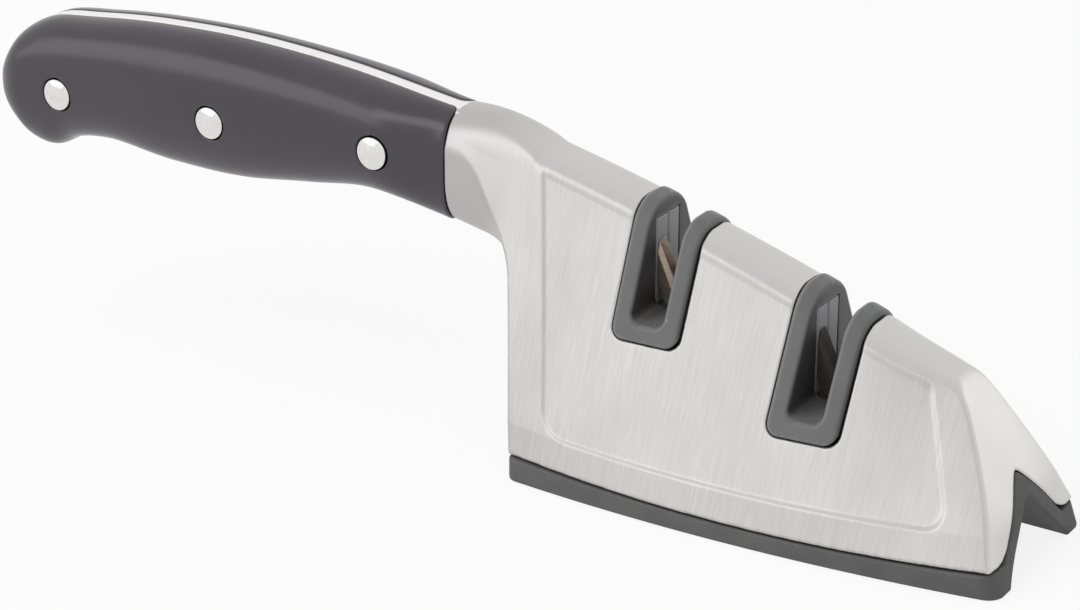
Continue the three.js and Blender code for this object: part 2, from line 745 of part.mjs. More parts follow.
function makeRivetPin(rivet) {
  const near = -handleHalfThickness + rivetHeadHeight + 3 * fit;
  const far = handleHalfThickness - rivetHeadHeight / 2;
  const pin = across(rivetPinDiameter, rivet.x, rivet.z, near, far, 16);
  return join(rivetHead(rivet, 1), pin);
}

const knifeSharpener = new THREE.Group();

function add(name, solid, finish) {
  const material = new THREE.MeshStandardMaterial(finishes[finish]);
  const mesh = new THREE.Mesh(toGeometry(solid), material);
  mesh.name = name;
  knifeSharpener.add(mesh);
}

add('housing', makeHousing(), 'metal');
add('near_scale', makeScale(-1), 'grip');
add('far_scale', makeScale(1), 'grip');
rivets.forEach((rivet) => {
  add(`rivet_tube_${rivet.name}`, makeRivetTube(rivet), 'rivet');
  add(`rivet_pin_${rivet.name}`, makeRivetPin(rivet), 'rivet');
});
stages.forEach((stage) => {
  add(`${stage.name}_guide`, makeGuide(stage), 'guide');
  [['near', -1], ['far', 1]].forEach(([place, side]) => {
    add(`${stage.name}_holder_${place}`, makeHolder(stage, side), 'holder');
    add(`${stage.name}_${stage.element}_${place}`, bladeBar(stage, side, 0), stage.finish);
  });
  add(`guide_screw_${stage.name}`, makeScrew(stage.x, stage.floor - screwTipGap), 'screw');
});
add('base_frame', makeFrame(), 'frame');
add('rubber_sole', makeSole(), 'rubber');
soleScrews.forEach((screw) => {
  add(`sole_screw_${screw.name}`, makeScrew(screw.x, bossFoot + threadDepth - screwTipGap), 'screw');
});

export default knifeSharpener;
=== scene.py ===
import json
import math
import bpy
import numpy as np
from mathutils import Matrix, Vector

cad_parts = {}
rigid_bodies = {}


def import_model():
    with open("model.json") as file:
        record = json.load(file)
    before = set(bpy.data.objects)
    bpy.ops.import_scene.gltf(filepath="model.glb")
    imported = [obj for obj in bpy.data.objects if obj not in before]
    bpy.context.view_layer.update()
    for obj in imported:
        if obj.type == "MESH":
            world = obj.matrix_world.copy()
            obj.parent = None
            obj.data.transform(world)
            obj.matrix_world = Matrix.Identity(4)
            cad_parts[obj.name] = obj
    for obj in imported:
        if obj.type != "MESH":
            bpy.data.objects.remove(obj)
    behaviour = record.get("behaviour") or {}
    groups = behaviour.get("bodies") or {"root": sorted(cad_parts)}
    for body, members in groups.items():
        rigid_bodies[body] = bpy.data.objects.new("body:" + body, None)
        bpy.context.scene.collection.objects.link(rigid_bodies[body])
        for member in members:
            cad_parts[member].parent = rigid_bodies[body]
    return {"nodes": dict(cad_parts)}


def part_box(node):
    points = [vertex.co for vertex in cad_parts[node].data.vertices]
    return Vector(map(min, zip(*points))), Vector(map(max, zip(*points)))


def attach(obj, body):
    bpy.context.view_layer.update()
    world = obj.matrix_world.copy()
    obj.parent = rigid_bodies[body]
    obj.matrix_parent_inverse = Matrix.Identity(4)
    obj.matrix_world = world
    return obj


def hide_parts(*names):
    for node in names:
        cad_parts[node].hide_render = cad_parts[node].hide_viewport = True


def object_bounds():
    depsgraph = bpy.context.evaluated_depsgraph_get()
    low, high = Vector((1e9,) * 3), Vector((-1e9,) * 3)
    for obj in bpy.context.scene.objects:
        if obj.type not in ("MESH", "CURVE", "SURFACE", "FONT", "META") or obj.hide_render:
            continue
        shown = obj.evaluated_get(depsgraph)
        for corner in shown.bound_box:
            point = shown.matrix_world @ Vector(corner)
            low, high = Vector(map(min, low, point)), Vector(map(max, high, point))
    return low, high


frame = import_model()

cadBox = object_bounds()
nodes = frame["nodes"]
mm = 0.001  # the pieces below are drawn in millimetres
tiny = 1e-6
room = 1  # millimetres left free round a node's box when its piece is wrapped


def corners(node):  # a node's lowest and highest corner, in millimetres
    low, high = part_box(node)
    return np.array(low) / mm, np.array(high) / mm


# Stations that come from the frame
buttX, noseX = cadBox[0][0] / mm, cadBox[1][0] / mm
soleLow, soleHigh = corners("rubber_sole")
print("frame loaded:", len(nodes), "nodes")


# Rounded joins and cuts of two fields; a field is negative inside the material
def roundMax(a, b, radius):
    u = np.maximum(a + radius, 0)
    v = np.maximum(b + radius, 0)
    return np.minimum(np.maximum(a, b), -radius) + np.hypot(u, v)


def roundMin(a, b, radius):
    return -roundMax(-a, -b, radius)


def ramp(value, low, high):  # soft step from 0 to 1
    t = np.clip((value - low) / (high - low), 0, 1)
    return t * t * (3 - 2 * t)


def squircle(y, z, halfY, halfZ, power):  # rounded section between an ellipse and a box
    ring = ((np.abs(y) / halfY) ** power + (np.abs(z) / halfZ) ** power) ** (1 / power)
    away = np.hypot(y, z) + tiny
    return away - away / np.maximum(ring, tiny)


# Closed skin of quads where a field passes through zero
def wrapField(field, low, high, cell):
    low = np.array(low, float)
    counts = [int(math.ceil((b - a) / cell)) + 1 for a, b in zip(low, high)]
    xs, ys, zs = [a + cell * np.arange(n) for a, n in zip(low, counts)]
    value = np.empty(counts, np.float32)
    slab = 12  # layers worked out at a time, to spare memory
    for i in range(0, counts[0], slab):
        value[i:i + slab] = field(xs[i:i + slab, None, None], ys[None, :, None], zs[None, None, :])
    inside = value < 0
    steps = [(i, j, k) for i in (0, 1) for j in (0, 1) for k in (0, 1)]
    cells = [n - 1 for n in counts]
    filled = np.zeros(cells, np.int8)
    for i, j, k in steps:
        filled += inside[i:i + cells[0], j:j + cells[1], k:k + cells[2]]
    mixed = (filled > 0) & (filled < len(steps))
    at = np.argwhere(mixed)
    number = np.full(cells, -1, np.int64)
    number[mixed] = np.arange(len(at))
    total = np.zeros((len(at), 3))
    hits = np.zeros(len(at))
    cornerValue = {s: value[at[:, 0] + s[0], at[:, 1] + s[1], at[:, 2] + s[2]].astype(float) for s in steps}
    for a in steps:
        for axis in range(3):
            if a[axis]:
                continue
            b = tuple(1 if n == axis else a[n] for n in range(3))
            crossed = (cornerValue[a] < 0) != (cornerValue[b] < 0)
            gap = np.where(crossed, cornerValue[a] - cornerValue[b], 1)
            spot = np.tile(np.array(a, float), (len(at), 1))
            spot[:, axis] += cornerValue[a] / gap
            total[crossed] += spot[crossed]
            hits += crossed
    points = low + cell * (at + total / hits[:, None])
    quads = []
    for axis in range(3):
        ahead = [slice(None)] * 3
        behind = [slice(None)] * 3
        ahead[axis], behind[axis] = slice(1, None), slice(None, -1)
        for outward in (True, False):
            start = inside[tuple(behind)] if outward else ~inside[tuple(behind)]
            stop = ~inside[tuple(ahead)] if outward else inside[tuple(ahead)]
            edge = np.argwhere(start & stop)
            p, q = [(1, 2), (2, 0), (0, 1)][axis]
            a, b = edge[:, p], edge[:, q]
            edge = edge[(a > 0) & (b > 0) & (a < cells[p]) & (b < cells[q])]
            ring = []
            for dp, dq in ((-1, -1), (0, -1), (0, 0), (-1, 0)):
                c = edge.copy()
                c[:, p] += dp
                c[:, q] += dq
                ring.append(number[c[:, 0], c[:, 1], c[:, 2]])
            quads.append(np.stack(ring if outward else ring[::-1], 1))
    return settle(field, points, cell), np.concatenate(quads)


# Draws points onto the zero surface of a field, in small steps
settling = {"rounds": 4, "nudge": 0.02, "step": 0.6, "leastSlope": 0.05}  # nudge and step in cells


def settle(field, points, cell):
    nudge = cell * settling["nudge"]
    for _ in range(settling["rounds"]):
        x, y, z = points.T
        f = field(x, y, z)
        slope = np.stack([
            field(x + nudge, y, z) - field(x - nudge, y, z),
            field(x, y + nudge, z) - field(x, y - nudge, z),
            field(x, y, z + nudge) - field(x, y, z - nudge),
        ], 1) / (2 * nudge)
        move = (f / np.maximum((slope ** 2).sum(1), settling["leastSlope"]))[:, None] * slope
        far = np.linalg.norm(move, axis=1, keepdims=True)
        points = points - move * np.minimum(1, settling["step"] * cell / np.maximum(far, tiny))
    return points


def meshPiece(name, points, faces, finish, slot, *stands):  # points in millimetres
    mesh = bpy.data.meshes.new(name)
    mesh.from_pydata((np.asarray(points) * mm).tolist(), [], [list(map(int, f)) for f in faces])
    mesh.update()
    mesh.polygons.foreach_set("use_smooth", [True] * len(mesh.polygons))
    mesh.materials.append(finish)
    piece = bpy.data.objects.new(name, mesh)
    bpy.context.scene.collection.objects.link(piece)
    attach(piece, "root")
    if stands:
        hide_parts(*stands)
    return piece


# Finishes
def newFinish(name, color, metallic, roughness):
    finish = bpy.data.materials.new(name)
    finish.use_nodes = True
    tree = finish.node_tree
    shader = tree.nodes["Principled BSDF"]
    shader.inputs["Base Color"].default_value = (*color, 1)
    shader.inputs["Metallic"].default_value = metallic
    shader.inputs["Roughness"].default_value = roughness
    return finish, tree, shader


def addNode(tree, kind, **values):
    node = tree.nodes.new(kind)
    for key, value in values.items():
        if key in node.inputs:
            node.inputs[key].default_value = value
        else:
            setattr(node, key, value)
    return node


noiseRough = 0.6  # weight of the finer layers in every noise


def noiseAlong(tree, stretch, scale, detail):  # noise in object space, drawn out per axis
    place = addNode(tree, "ShaderNodeTexCoord")
    mapping = addNode(tree, "ShaderNodeMapping")
    mapping.inputs["Scale"].default_value = stretch
    noise = addNode(tree, "ShaderNodeTexNoise", Scale=scale, Detail=detail, Roughness=noiseRough)
    tree.links.new(place.outputs["Object"], mapping.inputs["Vector"])
    tree.links.new(mapping.outputs["Vector"], noise.inputs["Vector"])
    return noise.outputs["Fac"]


def spread(tree, source, low, high, fromLow=0.3, fromHigh=0.7):  # noise mostly lies from 0.3 to 0.7
    node = addNode(tree, "ShaderNodeMapRange")
    node.inputs["From Min"].default_value = fromLow
    node.inputs["From Max"].default_value = fromHigh
    node.inputs["To Min"].default_value = low
    node.inputs["To Max"].default_value = high
    tree.links.new(source, node.inputs["Value"])
    return node.outputs["Result"]


mixA, mixB, mixOut = 6, 7, 2  # colour sockets of a mix node


def tint(tree, share, first, second):  # first where share is 0, second where it is 1; a colour or a socket
    mix = addNode(tree, "ShaderNodeMix", data_type="RGBA")
    for index, color in ((mixA, first), (mixB, second)):
        if isinstance(color, tuple):
            mix.inputs[index].default_value = (*color, 1)
        else:
            tree.links.new(color, mix.inputs[index])
    tree.links.new(share, mix.inputs[0])
    return mix.outputs[mixOut]


def dress(tree, shader, color, rough, relief, strength, depth):  # colour, gloss and fine relief of a finish
    bump = addNode(tree, "ShaderNodeBump", Strength=strength, Distance=depth)
    tree.links.new(relief, bump.inputs["Height"])
    tree.links.new(color, shader.inputs["Base Color"])
    tree.links.new(rough, shader.inputs["Roughness"])
    tree.links.new(bump.outputs["Normal"], shader.inputs["Normal"])


steel = {
    "dark": (0.45, 0.441, 0.424), "light": (0.518, 0.51, 0.495), "satin": (0.585, 0.58, 0.57),
    # bolster: a darker copy of the satin tone, painted shade on the bolster
    "bolster": (0.49, 0.483, 0.473), "rough": (0.32, 0.40), "lines": (2600, 150, 110), "cloud": (70, 70, 45),
    "noseTurn": (0.35, 0.6), "spineTurn": (0.42, 0.88), "bolsterShadeTurn": (0.003, 0.018),
    "evenRough": 0.35, "relief": 0.10, "depth": 0.00003,
}


def mathNode(tree, operation, a, b):
    node = addNode(tree, "ShaderNodeMath", operation=operation)
    for socket, value in zip(node.inputs, (a, b)):
        if isinstance(value, (int, float)):
            socket.default_value = value
        else:
            tree.links.new(value, socket)
    return node.outputs[0]


def parted(tree, output):  # x, y and z of the place or the normal
    place = addNode(tree, "ShaderNodeTexCoord")
    node = addNode(tree, "ShaderNodeSeparateXYZ")
    tree.links.new(place.outputs[output], node.inputs[0])
    return node.outputs


def brushedPlace(tree, ahead):  # 1 on the leaning sides, fading to 0 on the nose, the spine and the bolster
    facing = parted(tree, "Normal")
    turned = mathNode(tree, "ABSOLUTE", facing["X"], 0)
    side = mathNode(tree, "MULTIPLY", spread(tree, turned, 1, 0, *steel["noseTurn"]),
                    spread(tree, facing["Z"], 1, 0, *steel["spineTurn"]))
    return mathNode(tree, "MULTIPLY", side, ahead)


def fadeTo(tree, source, share):  # the source where share is 1, even 0.5 where it is 0
    away = mathNode(tree, "MULTIPLY", mathNode(tree, "SUBTRACT", source, 0.5), share)
    return mathNode(tree, "ADD", away, 0.5)


def brushedSteel():
    finish, tree, shader = newFinish("brushed_body_steel", steel["light"], 1.0, steel["evenRough"])
    lines = noiseAlong(tree, steel["lines"], 1.0, 4.0)  # fine lines that run up the side
    ahead = spread(tree, parted(tree, "Object")["X"], 0, 1, *steel["bolsterShadeTurn"])
    share = brushedPlace(tree, ahead)
    cloud = noiseAlong(tree, steel["cloud"], 1.0, 2.0)
    brushed = tint(tree, spread(tree, lines, 0, 1), steel["dark"], steel["light"])
    # painted shade: the bolster takes a darker copy of the satin tone
    color = tint(tree, share, tint(tree, ahead, steel["bolster"], steel["satin"]), brushed)
    dress(tree, shader, color, spread(tree, cloud, *steel["rough"]), fadeTo(tree, lines, share),
          steel["relief"], steel["depth"])
    return finish


grip = {
    "dark": (0.008, 0.0065, 0.010), "light": (0.013, 0.0105, 0.016), "rough": (0.20, 0.25), "gloss": 0.96,
    "sheen": (0.96, 0.92, 1.0), "pores": 2400, "cloud": 55, "evenRough": 0.4, "relief": 0.10,
    "depth": 0.00004,
}


def satinGrip():
    finish, tree, shader = newFinish("satin_black_grip", grip["light"], 0.0, grip["evenRough"])
    shader.inputs["Specular IOR Level"].default_value = grip["gloss"]
    shader.inputs["Specular Tint"].default_value = (*grip["sheen"], 1)
    pores = noiseAlong(tree, (1, 1, 1), grip["pores"], 2.0)
    cloud = noiseAlong(tree, (1, 1, 1), grip["cloud"], 3.0)
    color = tint(tree, spread(tree, cloud, 0, 1), grip["dark"], grip["light"])
    dress(tree, shader, color, spread(tree, cloud, *grip["rough"]), pores, grip["relief"], grip["depth"])
    return finish


plastics = {
    "grey_guide_plastic": {"dark": (0.124, 0.125, 0.127), "light": (0.144, 0.145, 0.147),
                           "rough": (0.34, 0.46), "pores": 2600, "depth": 0.00006,
                           # painted shade for the slot walls
                           "inner": (0.065, 0.065, 0.067), "innerTurn": (0.6, 0.95),
                           # rubbed wear and a painted highlight for the rounded edges
                           "edgeWearAndHighlight": (0.21, 0.21, 0.212), "edgeTurn": (0.507, 0.53)},
    "light_grey_holder_plastic": {"dark": (0.50, 0.503, 0.515), "light": (0.56, 0.563, 0.575),
                                  "rough": (0.4, 0.52), "pores": 2600, "depth": 0.00006},
    "sole_rubber": {"dark": (0.105, 0.105, 0.105), "light": (0.128, 0.128, 0.127), "rough": (0.6, 0.78),
                    "pores": 1800, "depth": 0.0001},
    "coated_frame": {"dark": (0.03, 0.03, 0.032), "light": (0.045, 0.045, 0.048), "rough": (0.5, 0.65),
                     "pores": 2600, "depth": 0.00006},
    "dark_ceramic": {"dark": (0.035, 0.033, 0.026), "light": (0.06, 0.056, 0.045), "rough": (0.55, 0.7),
                     "pores": 3600, "depth": 0.00008},
}
plasticCloud, plasticRelief = 120, 0.25


def mouldedPlastic(name):  # the guides also get painted shade on the slot walls, and edges made lighter by rubbed wear and a painted highlight
    values = plastics[name]
    finish, tree, shader = newFinish(name, values["light"], 0.0, values["rough"][0])
    pores = noiseAlong(tree, (1, 1, 1), values["pores"], 2.0)
    cloud = noiseAlong(tree, (1, 1, 1), plasticCloud, 3.0)
    color = tint(tree, spread(tree, cloud, 0, 1), values["dark"], values["light"])
    if "inner" in values:
        # painted shade: darker on faces turned along the length, mostly the walls of the slot
        turned = mathNode(tree, "ABSOLUTE", parted(tree, "Normal")["X"], 0)
        color = tint(tree, spread(tree, turned, 0, 1, *values["innerTurn"]), color, values["inner"])
    if "edgeWearAndHighlight" in values:
        # rubbed wear and a painted highlight: lighter where the surface bends outwards
        form = addNode(tree, "ShaderNodeNewGeometry")
        edge = spread(tree, form.outputs["Pointiness"], 0, 1, *values["edgeTurn"])
        color = tint(tree, edge, color, values["edgeWearAndHighlight"])
    dress(tree, shader, color, spread(tree, pores, *values["rough"]), pores, plasticRelief, values["depth"])
    return finish


metals = {
    "polished_rivet": {"dark": (0.70, 0.695, 0.68), "light": (0.78, 0.775, 0.76), "rough": (0.12, 0.18),
                       "grain": (900, 900, 900), "depth": 0.00002},
    "ground_carbide": {"dark": (0.28, 0.22, 0.175), "light": (0.42, 0.35, 0.29), "rough": (0.3, 0.42),
                       "grain": (600, 600, 3000), "depth": 0.00003},
    "plated_screw": {"dark": (0.5, 0.51, 0.52), "light": (0.62, 0.63, 0.64), "rough": (0.25, 0.36),
                     "grain": (1500, 1500, 1500), "depth": 0.00002},
    "polished_tang": {"dark": (0.82, 0.815, 0.805), "light": (0.88, 0.875, 0.865), "rough": (0.28, 0.36),
                      "grain": (140, 2600, 2600), "depth": 0.00002},
}
metalRelief = 0.15


def groundMetal(name):
    values = metals[name]
    finish, tree, shader = newFinish(name, values["light"], 1.0, values["rough"][0])
    grain = noiseAlong(tree, values["grain"], 1.0, 4.0)
    color = tint(tree, spread(tree, grain, 0, 1), values["dark"], values["light"])
    dress(tree, shader, color, spread(tree, grain, *values["rough"]), grain, metalRelief, values["depth"])
    return finish


steelFinish, gripFinish = brushedSteel(), satinGrip()
guideFinish = mouldedPlastic("grey_guide_plastic")
holderFinish = mouldedPlastic("light_grey_holder_plastic")
rubberFinish = mouldedPlastic("sole_rubber")
frameFinish = mouldedPlastic("coated_frame")
stoneFinish = mouldedPlastic("dark_ceramic")
rivetFinish = groundMetal("polished_rivet")
carbideFinish = groundMetal("ground_carbide")
screwFinish = groundMetal("plated_screw")
tangFinish = groundMetal("polished_tang")
print("finishes ready")


# Handle lines: two scales on a full tang
handle = {
    "length": 118.1, "axisAtJoint": 56.7, "axisRise": 5.0, "crown": 17.15, "belly": 14.2,
    "halfThick": 10.8, "jointThick": 8.2, "taper": 17.0, "power": 2.6, "buttRound": 8.0, "buttShare": 0.42,
    "tangHalf": 1.4, "tangFillet": 2.6, "fit": 0.25, "edgeRound": 0.6, "boreRound": 0.15, "cell": 0.4,
}
topLine = [  # place along the handle and share of the crown above its axis
    (0, 0.035), (0.018, 0.405), (0.05, 0.675), (0.1, 0.855), (0.2, 0.937), (0.36, 1), (0.56, 0.977),
    (0.77, 0.831), (1, 0.564),
]
bottomLine = [  # the same below it, as a share of the belly
    (0, 0.06), (0.012, 0.395), (0.04, 0.706), (0.075, 0.944), (0.115, 1), (0.165, 0.815), (0.24, 0.74),
    (0.4, 0.904), (0.56, 0.94), (0.7, 0.818), (0.84, 0.718), (1, 1),
]
jointX = buttX + handle["length"]
scaleInner = handle["tangHalf"] + handle["fit"]


def smoothLine(points, share):  # curve through the points, with an upright start
    p = np.array(points, float)
    key = np.sqrt(p[:, 0])  # the butt is round, so the line leaves it upright
    k = np.sqrt(np.clip(share, 0, 1))
    i = np.clip(np.searchsorted(key, k, side="right") - 1, 0, len(key) - 2)
    slope = np.gradient(p[:, 1], key)
    h = key[i + 1] - key[i]
    t = (k - key[i]) / h
    a, b = p[i, 1], p[i + 1, 1]
    return (a * (2 * t ** 3 - 3 * t ** 2 + 1) + b * (3 * t ** 2 - 2 * t ** 3)
            + slope[i] * h * (t ** 3 - 2 * t ** 2 + t) + slope[i + 1] * h * (t ** 3 - t ** 2))


def gripAxis(x):
    return handle["axisAtJoint"] - handle["axisRise"] * (jointX - x) / handle["length"]


def gripTop(x):
    return gripAxis(x) + handle["crown"] * smoothLine(topLine, (x - buttX) / handle["length"])


def gripBottom(x):
    return gripAxis(x) - handle["belly"] * smoothLine(bottomLine, (x - buttX) / handle["length"])


def gripThick(x):
    back = np.clip((x - buttX) / handle["buttRound"], 0, 1)
    waist = (handle["halfThick"] - handle["jointThick"]) * ramp(x, jointX - handle["taper"], jointX)
    share = handle["buttShare"]
    return (handle["halfThick"] - waist) * (share + (1 - share) * np.sqrt(1 - (1 - back) ** 2))


# Metal body: a wedge under a curved spine
body = {
    "spineAtBolster": 66.5, "spineAtNose": 35, "spineBow": 2.9, "spineHalf": 5.6, "spineTaper": 1.2,
    "spineRound": 3.6, "noseSpineRound": 1.8, "taperLength": 20, "tightLength": 14,
    "heelHalf": 25.2, "middleHalf": 25.4, "noseHalf": 18.9, "wall": 2.0,
    "noseSlope": 0.5, "noseBow": 0.8, "noseBulge": 2.0, "bulgeFoot": 0.4, "bulgeEnd": 1.3, "noseCrown": 0.9,
    "crownStart": 0.84, "crownLength": 0.16, "noseRound": 0.6, "shoulderRound": 0.7, "softStart": 0.85,
    "length": 103.1, "heelLean": 8.4, "heelLeanHeight": 37.6, "heelRound": 0.4,
    "edgeHeight": 5.3, "edgeBelly": 1.3, "edgeRound": 0.5, "footRound": 2.4,
    "panelDepth": 0.3, "panelRise": 6.0, "panelHeel": 8.6, "panelNose": 7.5, "panelTop": 3.2,
    "panelCorner": 4.5, "panelEdge": 0.45, "panelTopEdge": 1.1, "panelLean": 0.86, "skirtTurn": 0.06,
    "spineCos": 0.95, "noseCos": 0.88, "heelCos": 0.975,  # of the slopes, so that the fields are distances
    "cell": 0.36, "room": 1.3, "halfReach": 27, "reach": (2.5, 69),  # the box that is wrapped
}
bolster = {
    "power": 2.6, "drop": 5.8, "length": 27.1, "fillet": 10.0, "faceRound": 0.4, "swell": 0.9,
    "edgeRound": 0.3, "jointRound": 3.0, "capLength": 21.0, "capLift": 0.3, "capBow": 1.4, "capStep": 0.45,
    "capEdge": 0.88, "capFade": 1.6, "capReach": (-0.2, 1.2),
}
heelX = noseX - body["length"]
heelTopX = heelX - body["heelLean"]
shoulderX = noseX - body["noseSlope"] * body["spineAtNose"]
capEndX = jointX + bolster["capLength"]
bolsterLow, bolsterHigh = gripBottom(jointX), gripTop(jointX)


def spineHeight(x):
    t = (x - jointX) / (shoulderX - jointX)
    chord = body["spineAtBolster"] + (body["spineAtNose"] - body["spineAtBolster"]) * t
    return chord + body["spineBow"] * 4 * t * (1 - t)


def baseHalf(x):  # half width where the sides meet the sole
    t = (x - heelX) / body["length"]
    heelShare, noseShare = (1 - t) * (1 - 2 * t), t * (2 * t - 1)
    return body["heelHalf"] * heelShare + body["middleHalf"] * 4 * t * (1 - t) + body["noseHalf"] * noseShare


def sideLean(x):
    half = body["spineHalf"] - body["spineTaper"] * ramp(x, shoulderX - body["taperLength"], shoulderX)
    return (baseHalf(x) - half) / (spineHeight(x) - body["edgeHeight"])


def edgeHeight(x):  # lower edge of the metal
    t = (x - heelX) / body["length"]
    return body["edgeHeight"] - body["edgeBelly"] * 4 * t * (1 - t)


def noseLine(y, z):
    t = z / body["spineAtNose"]
    swell = body["noseBulge"] * np.clip(1 - (y / body["noseHalf"]) ** 2, 0, 1)
    swell = swell * np.clip(body["bulgeEnd"] - t, 0, 1) * ramp(t, 0, body["bulgeFoot"])  # none at the foot
    lean = np.clip((t - body["crownStart"]) / body["crownLength"], 0, 2)
    crown = body["noseCrown"] * lean ** 2  # leans back more below the spine
    return noseX - body["noseSlope"] * z + body["noseBow"] * 4 * t * (1 - t) + swell - crown


def heelLine(z):
    return heelX - body["heelLean"] * z / body["heelLeanHeight"]


def panelSink(x, z):  # how deep the shallow pressed panel lies, as a share; seen from the side
    bottom = edgeHeight(x) + body["panelRise"] - z
    back = heelLine(z) + body["panelHeel"] - x
    front = x - (noseX - body["noseSlope"] * z * body["panelLean"] - body["panelNose"])
    lower = roundMax(roundMax(bottom, back, body["panelCorner"]), front, body["panelCorner"])
    top = spineHeight(x) - body["panelTop"] - z
    edge, topEdge = body["panelEdge"], body["panelTopEdge"]
    return ramp(-lower, -edge, edge) * ramp(top, -topEdge, topEdge)


def capTop(x):  # top line of the bolster, which ends in a small step on the spine
    t = np.clip((x - jointX) / bolster["capLength"], *bolster["capReach"])
    start, end = bolsterHigh + bolster["capLift"], spineHeight(capEndX) + bolster["capStep"]
    return start + (end - start) * t + bolster["capBow"] * 4 * t * (1 - t)


def capField(x, y, z):  # round top of the bolster, run out straight below its edge
    power, half = bolster["power"], (bolsterHigh - bolsterLow) / 2
    share = np.abs(y) / handle["jointThick"]
    u = np.minimum(share, bolster["capEdge"])
    rest = 1 - u ** power
    slope = half * u ** (power - 1) * rest ** (1 / power - 1)
    fall = half * (1 - rest ** (1 / power)) + slope * (share - u)
    return (z - capTop(x) + fall) / np.hypot(1, slope / handle["jointThick"])


def tentField(x, y, z, panel=0.0):
    back = np.maximum((heelTopX - x) / (heelTopX - jointX), 0)
    across = np.abs(y) / (1 + bolster["swell"] * back ** 3)  # the bolster meets the handle at full width
    lean = sideLean(x)
    side = (across - baseHalf(x) + lean * (z - body["edgeHeight"])) / np.hypot(1, lean)
    if panel:
        side = side + panel * panelSink(x, z)
        below = np.maximum(edgeHeight(x) + body["panelRise"] - z, 0)
        side = side + body["skirtTurn"] * below  # the skirt stands a little steeper
    spine = (z - spineHeight(x)) * body["spineCos"]
    tight = ramp(x, shoulderX - body["tightLength"], shoulderX)  # the spine gets sharper towards the nose
    front = roundMax(side, spine, body["spineRound"] + (body["noseSpineRound"] - body["spineRound"]) * tight)
    blunt = (bolster["jointRound"] - bolster["edgeRound"]) * (1 - ramp(x, jointX, capEndX))
    rear = roundMax(side, capField(x, y, z), bolster["edgeRound"] + blunt)
    return rear + (front - rear) * ramp(x, capEndX - bolster["capFade"], capEndX + bolster["capFade"])


# Roof shaped groove under the body and the sole that lines it
sole = {
    "overhang": 0.4, "gap": 0.35, "fit": 0.25, "grooveHalf": 12.1, "grooveHeight": 12.7, "ridgeRound": 1.1,
    "edgeRound": 0.7, "topRound": 0.3, "heelRound": 1.8, "cornerRound": 3.0, "noseCos": 0.9,
    "cell": 0.36, "roomBelow": (1, 1, 1), "roomAbove": (1.5, 1, 1),
}
roofHeight = soleHigh[2]
grooveSlope = sole["grooveHeight"] / sole["grooveHalf"]


def roofField(y, z, ridge):  # positive above a roof with a rounded ridge
    softY = np.sqrt(y * y + sole["ridgeRound"] ** 2) - sole["ridgeRound"]
    return (z + grooveSlope * softY - ridge) / math.hypot(1, grooveSlope)


# Slots for the guides
guide = {
    "proud": 0.7, "corner": 2.6, "rim": 3.6, "floor": 3.3, "slotCorner": 2.1, "outerRound": 0.9,
    "rimRound": 0.8, "holeRound": 0.25, "pocketRound": 0.15, "gap": 0.35, "fit": 0.25, "cell": 0.25,
}


def stageOf(node):
    low, high = corners(node)
    x, half = (low[0] + high[0]) / 2, (high[0] - low[0]) / 2
    return {"x": x, "half": half, "under": low[2], "floor": low[2] + guide["floor"], "spine": spineHeight(x)}


stages = {"coarse": stageOf("coarse_guide"), "fine": stageOf("fine_guide")}


def trough(x, z, stage, half, low, corner):  # open upwards, with round lower corners
    return roundMax(np.abs(x - stage["x"]) - half, low - z, corner)


def bolsterField(x, y, z):  # a bar of the handle's section that spreads into the heel
    low = bolsterLow - bolster["drop"] * (x - jointX) / bolster["length"]
    middle = (bolsterHigh + bolsterLow) / 2
    under = np.minimum(z - middle, 0)  # round below, straight up the sides
    stem = squircle(y, under, handle["jointThick"], middle - low, bolster["power"])
    return roundMin(stem, (heelLine(z) - x) * body["heelCos"], bolster["fillet"])


def cavityField(x, y, z):
    thicker = ramp(x, shoulderX - body["tightLength"], shoulderX)  # under the rounded shoulder
    wall = body["wall"] * (1 + thicker)
    ends = np.maximum(heelLine(z) + wall - x, x - noseLine(0, z) + wall)
    return np.maximum(tentField(x, y, z) + wall, ends)


def bodyField(x, y, z):
    whole = roundMax(tentField(x, y, z, body["panelDepth"]), bolsterField(x, y, z), body["heelRound"])
    shoulder = spineHeight(shoulderX)
    soft = ramp(z, shoulder * body["softStart"], shoulder)
    noseSoft = body["noseRound"] + (body["shoulderRound"] - body["noseRound"]) * soft
    whole = roundMax(whole, (x - noseLine(y, z)) * body["noseCos"], noseSoft)
    whole = roundMax(whole, jointX - x, bolster["faceRound"])
    under = roundMax(edgeHeight(x) - z, -roofField(y, z, roofHeight + sole["fit"]), body["footRound"])
    whole = roundMax(whole, under, body["edgeRound"])
    for stage in stages.values():
        half, low = stage["half"] + guide["gap"], stage["under"] - guide["gap"]
        hole = trough(x, z, stage, half, low, guide["corner"])
        whole = roundMax(whole, -hole, guide["holeRound"])
    return np.maximum(whole, -cavityField(x, y, z))


def makeBody():
    bottom, top = body["reach"]
    low = (jointX - body["room"], -body["halfReach"], bottom)
    high = (noseX + body["room"], body["halfReach"], top)
    points, quads = wrapField(bodyField, low, high, body["cell"])
    return meshPiece("cast_body", points, quads, steelFinish, "body_metal", "housing")


castBody = makeBody()
print("body:", len(castBody.data.polygons), "faces")


# Rivets: places from the frame
rivet = {
    "dome": 0.6, "edge": 0.3, "head": 1.6, "gap": 0.27, "rings": 10, "sides": 48, "firstRing": 0.12,
    "rim": 0.4, "turn": (0.3, 0.1),  # shares of the edge
}
rivets = {}
for name in ("rear", "middle", "front"):
    low, high = corners(f"rivet_tube_{name}")
    middle = (low + high) / 2
    rivets[name] = {"x": middle[0], "z": middle[2], "radius": (high[0] - low[0]) / 2}


